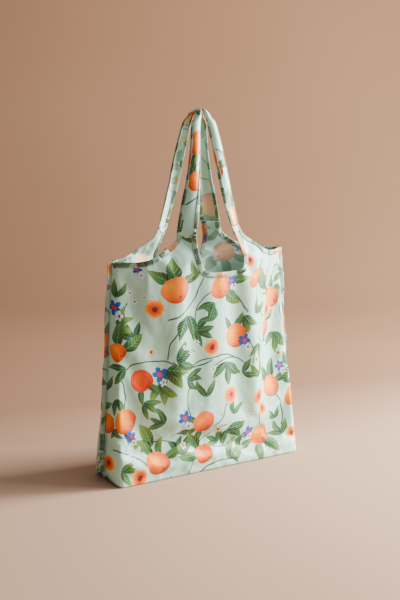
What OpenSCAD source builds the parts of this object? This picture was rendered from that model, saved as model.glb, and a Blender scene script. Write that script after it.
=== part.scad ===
// Foldaway shopping tote in thin printed cloth, stood open on its flat base.
// Millimetres, +Z up, front faces -Y, origin at the middle of the base.
// Cloth is drawn thicker than it is, so that each panel is a sound solid.

/* [Bag body] */
// Height of the side seams' top corners
side_h = 396; // [380:1:410]
// Half width of the body at its mouth, without the bound seam
mouth_half = 181; // [170:1:200]
// Half width of the body at its base, without the bound seam
base_half = 202; // [190:1:220]
// Half depth of the flat base
base_depth = 50; // [40:1:60]
// Half depth of the puffed mouth
mouth_depth = 63; // [60:1:75]
// Height of the side seams' lower ends, above the boxed corners
corner_lift = 22; // [15:1:35]
// Thickness of a cloth panel
wall = 2; // [1:0.5:3]

/* [Handles] */
// Height of the two loops' shared peak
peak_h = 660; // [620:1:700]
// Height of the hem that joins the handles to the body
join_h = 450; // [440:1:460]
// Height at which the panels start to lean in towards the peak
lean_h = 400; // [398:1:410]
// Lowest point of the neckline between the handles
neck_h = 371; // [360:1:375]

/* [Trim] */
// Width of the binding along every cut edge
bind_w = 3; // [2:0.5:3.5]
// Thickness of the folded binding
bind_t = 2.6; // [2:0.2:4]
// Width of the bound side seams
seam_w = 8; // [6:1:10]
// Height of the hem band under each handle
hem_h = 9; // [6:1:12]

/* [Stow pouch] */
// Half width of the pouch
pouch_half = 65; // [55:1:70]
// Lower edge of the pouch
pouch_z = 215; // [205:1:225]
// Upper edge of the pouch
pouch_top = 330; // [328:1:332]
// Half width of the flap
flap_half = 55; // [45:1:60]
// Length of the flap's front
flap_len = 52; // [50:1:60]
// Radius of the press stud's cap
stud_r = 6; // [5:0.5:8]

/* [Hidden] */
gap = 0.4;             // clearance between pieces that are sewn or that pass
rows = 12;             // rings of points up a panel
strap_rows = 18;       // rings of points up a strap
crease = 0.955;        // where the boxed corner's crease stands, as a share of the half width
pouch_back = 54.5;     // the pouch's rim, against the back panel
pouch_front = 48;      // the pouch's outer face
pouch_wall = 1.2;
pouch_rim = 3;
pouch_corner = 10;
flap_corner = 12;
flap_t = 1.4;
flap_front = 45;       // the flap's outer face
hinge_z = pouch_top + 8;
stud_z = 300;
post_r = 2;
shank_r = 1.5;
running = 0.06;        // radial play of the press stud's parts
label_z = 110;         // lower edge of the label
label_size = [28, 40];
mint = "#bcd3c6";
trim = "#8f9f98";
steel = "#b9bcbf";

// Finished outline of the right half's top edge: the neckline up to the handle's hem.
NECK = [[0, neck_h], [14, neck_h], [27, neck_h + 1], [38, neck_h + 4.5], [44.5, neck_h + 11],
        [47.5, neck_h + 22], [47, neck_h + 38], [44.5, neck_h + 52], [41, neck_h + 66], [36.5, join_h]];
// The same edge from the hem down the armhole to the side seam.
ARMHOLE = [[65, join_h], [71, join_h - 18], [80, join_h - 26], [90, join_h - 32], [102, join_h - 39],
           [114, join_h - 46], [128, join_h - 51], [145, join_h - 54], [165, join_h - 54],
           [mouth_half, side_h]];
// Inner and outer edges of a handle strap, as [height above the join, distance from the middle].
INNER = [[0, 36.5], [28, 29.5], [51, 25], [76, 21], [115, 17], [155, 13], [185, 9], [203, 4],
         [peak_h - join_h, 1.5]];
OUTER = [[0, 65], [28, 58], [51, 52], [76, 45], [115, 37], [155, 29], [176, 25], [196, 18],
         [peak_h - join_h, 13]];

function mix(a, b, k) = a + (b - a) * k;
function half_width(z) = mix(base_half, mouth_half, pow(min(1, z / side_h), 1.3));
function half_depth(z) = z < lean_h ? mix(base_depth, mouth_depth, z / lean_h)
                                    : mouth_depth * (peak_h - z) / (peak_h - lean_h);
// Share of the depth at a share t of the half width: boxy at the base, a pointed lens at the mouth.
function boxy(t) = t < crease ? 1 : (1 - t) / (1 - crease);
function lens(t) = 1 - pow(t, 2.4);
function depth_share(t, z) = mix(boxy(t), lens(t), pow(min(1, z / side_h), 0.8));
function smooth(k) = let (c = max(0, min(1, k))) c * c * (3 - 2 * c);
// The straps turn outwards above the neckline, and face front again near the peak.
function turn(z) = 0.33 * smooth((z - lean_h + 5) / 37) * (1 - smooth((z - join_h - 30) / 130));
function across(x, z) = let (low = lookup(z - join_h, INNER), high = lookup(z - join_h, OUTER))
    max(0, min(1, (x - low) / (high - low)));
function inner_y(t, z) = let (share = min(1, abs(t)), x = share * half_width(z))
    -(gap + half_depth(z) * max(0, depth_share(share, z) - turn(z) * across(x, z)));
// A point of the front panel's inner face (skin = 0) or outer face (skin = wall).
function body_point(t, z, skin) = [t * (half_width(z) - wall + skin), inner_y(t, z) - skin, z];
function cloth_point(x, z, skin) = body_point(x / (half_width(z) - wall + skin), z, skin);

function unit(v) = v / norm(v);
function along(path, i) = unit(path[min(i + 1, len(path) - 1)] - path[max(i - 1, 0)]);
// The path moved towards the cloth, which lies on the right of its direction of travel.
function inset(path, d) = [for (i = [0 : len(path) - 1])
    let (t = along(path, i)) path[i] + d * [t[1], -t[0]]];
function mirrored(path) = [for (i = [len(path) - 1 : -1 : 0]) [-path[i][0], path[i][1]]];

full_neck = concat(mirrored(NECK), [for (i = [1 : len(NECK) - 1]) NECK[i]]);
left_armhole = mirrored(ARMHOLE);
hem_middle = [(INNER[0][1] + OUTER[0][1]) / 2, join_h];
// The panel's own cut edge, right half, from the middle to the side seam.
cut_edge = concat(inset(NECK, bind_w), [hem_middle], inset(ARMHOLE, bind_w));
edge_count = len(cut_edge);
function foot_share(i) = i == edge_count - 1 ? 1 : i == edge_count - 2 ? crease
    : crease * i / (edge_count - 2);
function foot_z(share) = share <= crease ? 0 : corner_lift * (share - crease) / (1 - crease);
function edge_z(i) = min(cut_edge[i][1], join_h - gap);
function edge_share(i) = min(1, cut_edge[i][0] / half_width(edge_z(i)));
function panel_point(i, h, side, skin) =
    let (z = mix(foot_z(foot_share(i)), edge_z(i), h),
         t = mix(foot_share(i), edge_share(i), h * h))
    body_point(side * t, z, skin);
function panel_row(h, skin) = concat(
    [for (i = [edge_count - 1 : -1 : 1]) panel_point(i, h, -1, skin)],
    [for (i = [0 : edge_count - 1]) panel_point(i, h, 1, skin)]);

// A closed solid between two grids of points: outer faces -Y, rows run up and columns to +X.
module cloth(outer, inner) {
    r_end = len(outer) - 1;
    c_end = len(outer[0]) - 1;
    size = (r_end + 1) * (c_end + 1);
    function o(r, c) = r * (c_end + 1) + c;
    function n(r, c) = size + o(r, c);
    function quad(a, b, c, d) = [[a, b, c], [a, c, d]];
    points = concat([for (row = outer, p = row) p], [for (row = inner, p = row) p]);
    skins = [for (r = [0 : r_end - 1], c = [0 : c_end - 1]) each concat(
        quad(o(r, c), o(r + 1, c), o(r + 1, c + 1), o(r, c + 1)),
        quad(n(r, c), n(r, c + 1), n(r + 1, c + 1), n(r + 1, c)))];
    lips = [for (c = [0 : c_end - 1]) each concat(
        quad(o(0, c), o(0, c + 1), n(0, c + 1), n(0, c)),
        quad(o(r_end, c + 1), o(r_end, c), n(r_end, c), n(r_end, c + 1)))];
    sides = [for (r = [0 : r_end - 1]) each concat(
        quad(o(r + 1, 0), o(r, 0), n(r, 0), n(r + 1, 0)),
        quad(o(r, c_end), o(r + 1, c_end), n(r + 1, c_end), n(r, c_end)))];
    polyhedron(points, concat(skins, lips, sides), convexity = 8);
}

// A folded binding along an edge of the front panel, on the cloth's side of the path.
module binding(path) {
    low = inset(path, bind_w - gap / 2);
    extra = (bind_t - wall) / 2;
    cloth([[for (p = low) cloth_point(p[0], p[1], wall + extra)],
           [for (p = path) cloth_point(p[0], p[1], wall + extra)]],
          [[for (p = low) cloth_point(p[0], p[1], -extra)],
           [for (p = path) cloth_point(p[0], p[1], -extra)]]);
}

module front_and_back() {
    children();
    mirror([0, 1, 0]) children();
}

module panel() {
    cloth([for (r = [0 : rows]) panel_row(r / rows, wall)],
          [for (r = [0 : rows]) panel_row(r / rows, 0)]);
}

// The hem band that doubles the cloth just under a left handle.
module hem_band() {
    clear = bind_w + 3;
    outer_x = -OUTER[0][1] + clear;
    inner_x = -INNER[0][1] - clear;
    xs = [for (k = [0 : 4]) mix(outer_x, inner_x, k / 4)];
    zs = [join_h - hem_h - gap, join_h - gap];
    cloth([for (z = zs) [for (x = xs) cloth_point(x, z, wall + 1)]],
          [for (z = zs) [for (x = xs) cloth_point(x, z, wall + 0.1)]]);
}

function strap_z(r) = mix(join_h + gap, peak_h - 1, r / strap_rows);
function strap_x(z, k, trim_w) = -mix(lookup(z - join_h, OUTER) - trim_w,
                                      lookup(z - join_h, INNER) + trim_w, k);
module front_strap() {
    function face(skin) = [for (r = [0 : strap_rows]) [for (k = [0 : 3])
        let (z = strap_z(r)) cloth_point(strap_x(z, k / 3, bind_w), z, skin)]];
    cloth(face(wall), face(0));
}

module strap_binding(table, side) {
    path = [for (r = [0 : strap_rows])
        let (z = strap_z(side > 0 ? r : strap_rows - r)) [-lookup(z - join_h, table), z]];
    binding(path);
}

module side_seam() {
    steps = 10;
    function seam_x(k, d) = [half_width(mix(corner_lift, side_h, k / steps)) + d,
                             mix(corner_lift, side_h, k / steps)];
    rotate([90, 0, 0]) linear_extrude(height = bind_t, center = true)
        polygon(concat([for (k = [0 : steps]) seam_x(k, gap)],
                       [for (k = [steps : -1 : 0]) seam_x(k, seam_w)]));
}

// The cloth between the flat base and the lifted end of the right side seam. Its columns run
// to +Y, so its outer face is on +X.
module base_corner() {
    reach = base_depth * 0.86;
    foot = base_half - 5;
    thickness = 1.5;
    ys = [for (k = [-4 : 4]) reach * k / 4];
    function rise(y) = 1 - abs(y) / base_depth;
    function low_row(skin) = [for (y = ys) [foot - skin, y, gap]];
    function high_row(skin) = [for (y = ys)
        [foot + 4 * rise(y) - skin, y, gap + (corner_lift - 2 * gap) * rise(y)]];
    cloth([low_row(0), high_row(0)], [low_row(thickness), high_row(thickness)]);
}

module base_panel() {
    color(mint) linear_extrude(height = wall)
        polygon([[-base_half + 12, -base_depth], [base_half - 12, -base_depth],
                 [base_half - 8, 0], [base_half - 12, base_depth],
                 [-base_half + 12, base_depth], [-base_half + 8, 0]]);
}
module right_base_corner() { color(mint) base_corner(); }
module left_base_corner() { color(mint) mirror([1, 0, 0]) base_corner(); }
module right_side_seam() { color(trim) side_seam(); }
module left_side_seam() { color(trim) mirror([1, 0, 0]) side_seam(); }

// A blank sewn-in label on the inside of the left side seam.
module care_label() {
    color("white") translate([-half_width(label_z) + wall + 3, 0, label_z])
        rotate([90, 0, 0]) linear_extrude(height = 0.6, center = true)
            offset(r = 1.5, $fn = 24) offset(delta = -1.5) square(label_size);
}

module front_panel() { color(mint) panel(); }
module front_neck_binding() { color(trim) binding(full_neck); }
module front_left_armhole_binding() { color(trim) binding(left_armhole); }
module front_right_armhole_binding() { color(trim) mirror([1, 0, 0]) binding(left_armhole); }
module front_left_hem() { color(mint) hem_band(); }
module front_right_hem() { color(mint) mirror([1, 0, 0]) hem_band(); }

module back_panel() { color(mint) mirror([0, 1, 0]) panel(); }
module back_neck_binding() { color(trim) mirror([0, 1, 0]) binding(full_neck); }
module back_left_armhole_binding() { color(trim) mirror([0, 1, 0]) binding(left_armhole); }
module back_right_armhole_binding() {
    color(trim) mirror([0, 1, 0]) mirror([1, 0, 0]) binding(left_armhole);
}
module back_left_hem() { color(mint) mirror([0, 1, 0]) hem_band(); }
module back_right_hem() { color(mint) mirror([0, 1, 0]) mirror([1, 0, 0]) hem_band(); }

module left_front_strap() { color(mint) front_strap(); }
module left_back_strap() { color(mint) mirror([0, 1, 0]) front_strap(); }
module left_outer_binding() { color(trim) front_and_back() strap_binding(OUTER, 1); }
module left_inner_binding() { color(trim) front_and_back() strap_binding(INNER, -1); }
module right_front_strap() { mirror([1, 0, 0]) left_front_strap(); }
module right_back_strap() { mirror([1, 0, 0]) left_back_strap(); }
module right_outer_binding() { mirror([1, 0, 0]) left_outer_binding(); }
module right_inner_binding() { mirror([1, 0, 0]) left_inner_binding(); }

// Draws a profile of the XZ plane as a plate from y_front back to y_back.
module plate(y_front, y_back) {
    translate([0, y_back, 0]) rotate([90, 0, 0]) linear_extrude(height = y_back - y_front) children();
}

// A square-topped, round-footed outline, as a pouch or a flap has.
module tab(half, low, top, radius) {
    union() {
        translate([-half, low + radius]) square([2 * half, top - low - radius]);
        translate([-half + radius, low]) square([2 * (half - radius), radius]);
        for (side = [-1, 1])
            translate([side * (half - radius), low + radius]) circle(r = radius, $fn = 48);
    }
}

// A disc or a ring on the stud's own line, from y_front back to y_back.
module disc(radius, y_front, y_back) {
    translate([0, y_back, stud_z]) rotate([90, 0, 0])
        cylinder(r = radius, h = y_back - y_front, $fn = 48);
}

// The pouch that the bag stows into: a patch pocket sewn inside the back panel on three sides.
module stow_pouch() {
    color(mint) difference() {
        plate(pouch_front, pouch_back) tab(pouch_half, pouch_z, pouch_top, pouch_corner);
        plate(pouch_front + pouch_wall, pouch_back + 1)
            tab(pouch_half - pouch_rim, pouch_z + pouch_rim, pouch_top + 1, pouch_corner - 2);
        disc(shank_r, pouch_front - 1, pouch_front + pouch_wall + 1);
    }
}
module pouch_mouth_binding() {
    color(trim) translate([-pouch_half + pouch_rim + gap, pouch_front - 0.5, pouch_top + gap])
        cube([2 * (pouch_half - pouch_rim - gap), pouch_wall + 1, 4]);
}
module stud_post() {
    color(steel) union() {
        disc(stud_r - 1, pouch_front - 0.5, pouch_front);
        disc(post_r, pouch_front - 1.5, pouch_front);
        disc(shank_r, pouch_front - 0.5, pouch_front + pouch_wall + 0.5);
        disc(stud_r - 2, pouch_front + pouch_wall, pouch_front + pouch_wall + 0.6);
    }
}

flap_low = hinge_z - flap_len;
module flap_outline(less) {
    tab(flap_half - less, flap_low + less, hinge_z + flap_t, flap_corner - less);
}
module pouch_flap() {
    color(mint) difference() {
        union() {
            plate(flap_front, flap_front + flap_t) flap_outline(bind_w);
            translate([-flap_half + bind_w, flap_front, hinge_z])
                cube([2 * (flap_half - bind_w), pouch_back - flap_front, flap_t]);
        }
        disc(shank_r, flap_front - 1, flap_front + flap_t + 1);
    }
}
module flap_binding() {
    color(trim) plate(flap_front - 0.4, flap_front + flap_t + 0.3) difference() {
        flap_outline(0);
        flap_outline(bind_w - 0.1);
        translate([-flap_half, hinge_z - 4]) square([2 * flap_half, 10]);
    }
}
module stud_cap() {
    color(steel) union() {
        disc(stud_r, flap_front - 0.8, flap_front);
        disc(stud_r - 1.5, flap_front - 1.3, flap_front - 0.8);
        disc(shank_r, flap_front - 0.8, flap_front + flap_t);
    }
}
module stud_socket() {
    color(steel) difference() {
        disc(stud_r - 1, flap_front + flap_t, pouch_front - 0.55);
        disc(post_r + running, flap_front + flap_t - 1, pouch_front);
    }
}

base_panel();
left_base_corner();
right_base_corner();
left_side_seam();
right_side_seam();
care_label();
front_panel();
front_neck_binding();
front_left_armhole_binding();
front_right_armhole_binding();
front_left_hem();
front_right_hem();
back_panel();
back_neck_binding();
back_left_armhole_binding();
back_right_armhole_binding();
back_left_hem();
back_right_hem();
stow_pouch();
pouch_mouth_binding();
stud_post();
left_front_strap();
left_back_strap();
left_outer_binding();
left_inner_binding();
right_front_strap();
right_back_strap();
right_outer_binding();
right_inner_binding();
pouch_flap();
flap_binding();
stud_cap();
stud_socket();
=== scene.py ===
import math

import bmesh
import bpy
import numpy as np
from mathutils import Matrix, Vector
from mathutils.bvhtree import BVHTree


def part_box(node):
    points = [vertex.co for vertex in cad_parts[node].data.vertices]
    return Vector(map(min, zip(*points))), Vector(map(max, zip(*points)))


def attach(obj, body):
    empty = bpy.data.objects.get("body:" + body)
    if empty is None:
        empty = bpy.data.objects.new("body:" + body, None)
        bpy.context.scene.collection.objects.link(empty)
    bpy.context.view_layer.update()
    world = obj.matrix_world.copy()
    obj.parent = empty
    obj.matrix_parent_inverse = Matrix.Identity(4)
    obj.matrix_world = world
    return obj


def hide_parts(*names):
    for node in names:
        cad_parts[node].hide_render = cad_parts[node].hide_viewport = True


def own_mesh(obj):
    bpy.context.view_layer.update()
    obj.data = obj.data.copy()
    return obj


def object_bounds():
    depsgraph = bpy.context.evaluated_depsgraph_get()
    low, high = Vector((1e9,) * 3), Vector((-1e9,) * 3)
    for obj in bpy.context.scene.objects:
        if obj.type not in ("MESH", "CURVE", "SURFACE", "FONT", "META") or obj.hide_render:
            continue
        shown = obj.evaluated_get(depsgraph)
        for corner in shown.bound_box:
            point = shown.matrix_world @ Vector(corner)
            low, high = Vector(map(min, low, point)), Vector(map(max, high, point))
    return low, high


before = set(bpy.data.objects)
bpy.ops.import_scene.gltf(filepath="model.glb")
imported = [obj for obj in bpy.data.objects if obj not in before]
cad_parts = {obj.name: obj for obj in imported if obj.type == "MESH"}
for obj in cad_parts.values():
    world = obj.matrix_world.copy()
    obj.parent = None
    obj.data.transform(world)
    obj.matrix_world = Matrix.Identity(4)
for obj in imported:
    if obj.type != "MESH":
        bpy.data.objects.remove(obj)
CAD_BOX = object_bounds()
MM = 0.001

# ---------------------------------------------------------------- driving sizes, in millimetres
# The same outline as the CAD model's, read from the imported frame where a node's box gives it.


def box_mm(node):
    low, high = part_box(node)
    return np.array(low) / MM, np.array(high) / MM


PEAK = CAD_BOX[1].z / MM                    # top of the handles
CORNER_LIFT, SIDE_TOP = (corner[2] for corner in box_mm("left_side_seam"))
HEM_TOP = 450.0                             # where the handles are sewn on
BASE_HALF, BASE_DEPTH = 202.0, 50.0         # half the base, across and front to back
MOUTH_HALF, MOUTH_DEPTH = 181.0, 63.0       # half the puffed mouth likewise
LEAN = 400.0            # height from which the panels lean in towards the peak
CREASE = 0.955          # where the boxed sides turn, as a share of half the width
LENS = 2.4              # how full the panels' curve from seam to seam is
STRAP_TURN = 0.33       # how far each strap's outer edge turns inwards at its root
SKIN = 1.4              # the visual cloth lies inside the CAD panel's thickness
ARCH = 8.0              # radius of the handles' turn at the peak
BIND = 9.0              # width of the folded binding
CLOTH = 0.25            # thickness of the visual cloth

# Half outlines as (x, z), and the straps' edges as (z, x).
NECK = [(0, 371), (14, 371), (27, 372), (38, 375.5), (44.5, 382), (47.5, 393), (47, 409),
        (44.5, 423), (41, 437), (36.5, HEM_TOP)]
ARMHOLE = [(65, HEM_TOP), (71, 432), (80, 424), (90, 418), (102, 411), (114, 404), (128, 399),
           (145, 396), (165, 396), (MOUTH_HALF, SIDE_TOP)]
INNER = [(450, 36.5), (478, 29.5), (501, 25), (526, 21), (565, 17), (605, 13), (635, 9), (653, 5),
         (660, 3.5)]
OUTER = [(450, 65), (478, 58), (501, 52), (526, 45), (565, 37), (605, 29), (626, 25), (646, 19),
         (660, 15)]


def table(z, rows):
    return np.interp(z, *zip(*rows))


def smooth(k):
    k = np.clip(k, 0, 1)
    return k * k * (3 - 2 * k)


def unit(v):
    return v / max(np.linalg.norm(v), 1e-9)


def half_width(z):
    share = np.clip(np.asarray(z, float) / SIDE_TOP, 0, 1)
    return BASE_HALF + (MOUTH_HALF - BASE_HALF) * share ** 1.3


def half_depth(z):
    z = np.asarray(z, float)
    lower = BASE_DEPTH + (MOUTH_DEPTH - BASE_DEPTH) * z / LEAN
    top = PEAK - ARCH
    upper = ARCH + (MOUTH_DEPTH - ARCH) * (top - z) / (top - LEAN)
    arch = np.sqrt(np.maximum(ARCH ** 2 - np.maximum(z - top, 0) ** 2, 0))
    return np.where(z < LEAN, lower, np.where(z < top, upper, arch))


def depth(x, z):
    """How far the cloth stands from the middle plane at a place on the front: boxy at the foot,
    and a lens at the mouth."""
    x, z = np.abs(np.asarray(x, float)), np.asarray(z, float)
    t = np.minimum(1, x / half_width(z))
    rise = np.clip(z / SIDE_TOP, 0, 1) ** 0.8
    boxy = np.where(t < CREASE, 1, (1 - t) / (1 - CREASE))
    turn = STRAP_TURN * smooth((z - LEAN + 5) / 37) * (1 - smooth((z - HEM_TOP - 30) / 130))
    low, high = table(z, INNER), table(z, OUTER)
    across = np.clip((x - low) / (high - low), 0, 1)
    share = np.maximum(0, boxy * (1 - rise) + (1 - t ** LENS) * rise - turn * across)
    return half_depth(z) * share


# ---------------------------------------------------------------- camera
AIM = Vector((0, 0, 0.5 * PEAK * MM))
AZIMUTH, ELEVATION = math.radians(-32), math.radians(10.3)
DISTANCE = 2.021
FOCAL, SHIFT = 66, (1 / 600, -10 / 600)


def add_to_scene(name, data):
    obj = bpy.data.objects.new(name, data)
    bpy.context.scene.collection.objects.link(obj)
    return obj


def look(obj, direction):
    obj.rotation_mode = "QUATERNION"
    obj.rotation_quaternion = direction.to_track_quat("-Z", "Y")


def make_camera():
    data = bpy.data.cameras.new("camera")
    data.sensor_width, data.lens = 36, FOCAL
    data.shift_x, data.shift_y = SHIFT
    data.clip_start, data.clip_end = 0.05, 60
    camera = add_to_scene("camera", data)
    back = Vector((math.sin(AZIMUTH) * math.cos(ELEVATION),
                   -math.cos(AZIMUTH) * math.cos(ELEVATION), math.sin(ELEVATION)))
    camera.location = AIM + back * DISTANCE
    look(camera, -back)
    bpy.context.scene.camera = camera


make_camera()


# ---------------------------------------------------------------- node helpers
class Tree:
    """A short way to write shader nodes: every call adds one node and returns its output."""

    def __init__(self, tree):
        self.tree = tree

    def put(self, socket, value):
        if isinstance(value, bpy.types.NodeSocket):
            self.tree.links.new(value, socket)
            return
        if socket.type == "RGBA" and len(value) == 3:
            value = (*value, 1.0)
        socket.default_value = value

    def new(self, kind, *values, **props):
        """A node with these properties, and these values or links in its first inputs."""
        node = self.tree.nodes.new(kind)
        for key, value in props.items():
            setattr(node, key, value)
        for socket, value in zip(node.inputs, values):
            self.put(socket, value)
        return node

    def math(self, operation, *values, clamp=False):
        return self.new("ShaderNodeMath", *values, operation=operation, use_clamp=clamp).outputs[0]

    def vector(self, operation, *values):
        return self.new("ShaderNodeVectorMath", *values, operation=operation).outputs[0]

    def measure(self, operation, *values):
        """Vector maths that gives a number: DOT_PRODUCT, LENGTH or DISTANCE."""
        return self.new("ShaderNodeVectorMath", *values, operation=operation).outputs[1]

    def mix(self, factor, a, b):
        node = self.new("ShaderNodeMix", factor, data_type="RGBA")
        self.put(node.inputs[6], a)
        self.put(node.inputs[7], b)
        return node.outputs[2]

    def over(self, mask, below, above):
        node = self.new("ShaderNodeMix", mask, data_type="VECTOR")
        self.put(node.inputs[4], below)
        self.put(node.inputs[5], above)
        return node.outputs[1]

    def ramp(self, factor, stops):
        node = self.new("ShaderNodeValToRGB", factor)
        ramp = node.color_ramp
        while len(ramp.elements) < len(stops):
            ramp.elements.new(0.5)
        for element, (place, colour) in zip(ramp.elements, stops):
            element.position = place
            element.color = (*colour, 1)
        return node.outputs[0]

    def noise(self, vector, scale, detail=2.0, roughness=0.5):
        node = self.new("ShaderNodeTexNoise", vector)
        for name, value in (("Scale", scale), ("Detail", detail), ("Roughness", roughness)):
            node.inputs[name].default_value = value
        return node.outputs[0]


# ---------------------------------------------------------------- the print
TILE = (410.0, 400.0)   # repeat of the print, in millimetres of cloth

# Fruit: place, radius, the way its leaves point, how many, and how red it is.
FRUIT = [
    (-86, 347, 23, 95, 3, 0), (3, 346, 22, 350, 2, 0.15), (43, 253, 23, 100, 2, 0),
    (-176, 119, 22, 250, 2, 0.1), (-26, 104, 21, 215, 3, 0.35), (-118, 36, 23, 75, 3, 0.1),
    (-22, 36, 19, 150, 2, 0.45), (112, 50, 21, 290, 2, 0), (164, 306, 20, 120, 2, 0.1),
    (130, 257, 19, 60, 2, 0.2), (144, 140, 20, 80, 3, 0), (192, 112, 19, 330, 1, 0.1),
    (-146, 189, 20, 300, 2, 0.9), (78, 355, 17, 20, 2, 0.2), (-188, 240, 16, 60, 2, 0.2),
]
DAISIES = [(-121, 317, 18), (-12, 241, 16), (32, 147, 18), (-155, 12, 18), (146, 284, 16),
           (99, 133, 16), (112, 106, 14), (190, 40, 16), (60, 390, 14)]
# Small flowers by kind: cream, blue with a red eye, white, and the buds.
BLOSSOMS = {
    "cream": [(-127, 240, 9), (7, 82, 9), (-62, 60, 7), (88, 205, 8), (170, 200, 8)],
    "blue": [(-112, 199, 15), (-64, 116, 14), (-192, 318, 14), (-167, 90, 12), (80, 64, 14),
             (62, 243, 12), (128, 234, 12), (24, 354, 10), (170, 174, 11), (-150, 385, 10)],
    "white": [(-104, 184, 8), (-57, 102, 8), (-185, 304, 8), (-161, 78, 7), (88, 52, 8),
              (69, 231, 7), (135, 222, 7), (30, 344, 6), (176, 163, 6), (-144, 375, 6)],
    "bud": [(-66, 244, 5), (-40, 252, 5), (-52, 233, 5), (70, 115, 5), (60, 98, 5), (84, 100, 5),
            (-52, 384, 5), (-70, 378, 5), (-155, 330, 6), (-140, 338, 5), (-165, 345, 5),
            (-170, 60, 5), (-150, 66, 5), (-165, 48, 6), (165, 365, 5), (150, 352, 5),
            (180, 358, 5), (120, 190, 5), (135, 182, 5), (-10, 200, 5)],
}
KINDS = [("cream", (0.80, 0.66, 0.30), (0.16, 0.04, 0.01)),
         ("blue", (0.012, 0.085, 0.46), (0.78, 0.02, 0.015)),
         ("white", (0.84, 0.88, 0.88), (0.04, 0.12, 0.38)),
         ("bud", (0.88, 0.92, 0.86), (0.05, 0.10, 0.07))]
# Sprays of leaves: place, the way they point, how many, their spread and how yellow the tips are.
SPRAYS = [
    (-58, 300, 265, 2, 40, 0.1), (-40, 275, 345, 4, 38, 0.15), (-60, 365, 80, 2, 30, 0.5),
    (-158, 262, 115, 3, 42, 0.1), (-175, 212, 205, 2, 50, 0.2), (-100, 208, 310, 3, 48, 0.45),
    (-82, 222, 20, 3, 40, 0.1), (-22, 150, 95, 2, 55, 0.2), (-45, 82, 200, 2, 55, 0.1),
    (28, 84, 320, 3, 50, 0.15), (-75, 45, 75, 3, 45, 0.1), (22, 208, 270, 3, 55, 0.15),
    (58, 290, 285, 3, 45, 0.3), (66, 28, 60, 2, 60, 0.2), (100, 172, 110, 2, 50, 0.3),
    (112, 330, 75, 2, 50, 0.6), (166, 240, 265, 3, 45, 0.3), (150, 70, 100, 2, 50, 0.5),
    (190, 170, 80, 2, 50, 0.4), (-190, 290, 20, 3, 42, 0.9), (-190, 335, 70, 2, 40, 0.5),
    (-190, 30, 350, 3, 45, 0.8), (-125, 68, 140, 2, 45, 0.7), (0, 300, 180, 2, 40, 0.2),
    (35, 110, 60, 2, 50, 0.4), (200, 350, 180, 2, 50, 0.5), (-190, 160, 270, 2, 40, 0.3),
    (30, 18, 40, 2, 40, 0.6), (85, 290, 60, 2, 40, 0.6), (-112, 182, 285, 3, 38, 0.5),
    (-62, 188, 350, 3, 36, 0.2), (95, 235, 250, 2, 50, 0.4), (125, 150, 330, 2, 50, 0.5),
    (175, 140, 40, 2, 50, 0.5), (165, 40, 120, 3, 45, 0.6), (60, 180, 30, 2, 60, 0.3),
    (-100, 110, 160, 3, 40, 0.3), (-140, 150, 320, 3, 40, 0.6), (15, 55, 150, 3, 45, 0.4),
    (-10, 320, 230, 2, 50, 0.2), (185, 330, 250, 2, 45, 0.5),
]
# Branches: the arc's middle, the way it bulges, its radius and half its angle, in degrees.
BRANCHES = [
    (-55, 318, 320, 70, 42), (-88, 262, 145, 60, 38), (-120, 225, 85, 75, 45),
    (-50, 205, 270, 60, 40), (-12, 222, 100, 90, 35), (35, 215, 80, 60, 40),
    (75, 235, 30, 45, 48), (-35, 322, 150, 60, 36), (-30, 60, 140, 95, 40),
    (45, 45, 280, 110, 36), (-85, 70, 60, 55, 42), (15, 110, 330, 60, 36),
    (-58, 150, 180, 90, 20), (120, 200, 10, 80, 42), (105, 80, 200, 70, 40),
    (165, 100, 20, 60, 40), (150, 330, 300, 60, 42), (-175, 285, 190, 60, 40),
    (-165, 55, 60, 70, 36), (185, 265, 190, 55, 38), (35, 330, 60, 70, 38),
    (-175, 150, 350, 60, 42), (90, 310, 200, 60, 36), (5, 15, 100, 80, 36),
]

# The colours of the print.
GROUND = (0.46, 0.77, 0.625)
TWIG = (0.045, 0.105, 0.065)
LEAF_SHADE, LEAF_LIT = (0.001, 0.019, 0.013), (0.003, 0.098, 0.050)
LEAF_VEIN, LEAF_TIP = (0.20, 0.54, 0.22), (0.34, 0.56, 0.05)
RIPE = [(0.0, (1.0, 0.43, 0.025)), (0.26, (1.0, 0.265, 0.004)), (0.60, (0.92, 0.140, 0.001)),
        (0.92, (0.40, 0.035, 0.001))]
BLUSH = [(0.0, (0.98, 0.13, 0.006)), (0.45, (0.82, 0.035, 0.002)), (0.95, (0.34, 0.008, 0.004))]
PORE, NAVEL = (1.0, 0.55, 0.2), (0.14, 0.07, 0.015)
DAISY = [(0.0, (0.20, 0.028, 0.012)), (0.20, (0.10, 0.010, 0.006)), (0.28, (0.62, 0.045, 0.012)),
         (0.55, (0.90, 0.14, 0.008)), (0.74, (0.96, 0.36, 0.02)), (0.95, (0.98, 0.62, 0.12))]
DAISY_GROOVE, BLOSSOM_GROOVE = (0.55, 0.08, 0.015), (0.05, 0.08, 0.08)

TWIG_HALF = 1.25            # half a branch's width
LEAF_LENGTH, LEAF_VARIES = 34, 3.2
LEAF_FAT = 0.17             # half a leaf's width, as a share of its length
LEAF_BEND = (-0.28, 0.32)   # how far leaves bend, turn about
WANDER, WANDER_SCALE = 7, 0.045     # how far the drawing strays, so that no edge is ruled
X, Y, KIND = (1, 0, 0), (0, 1, 0), (0, 0, 1)
NOTHING = (0, 0, -1)        # the place that a layer keeps where none of its motifs is


def direction(degrees):
    return math.cos(math.radians(degrees)), math.sin(math.radians(degrees))


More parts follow.
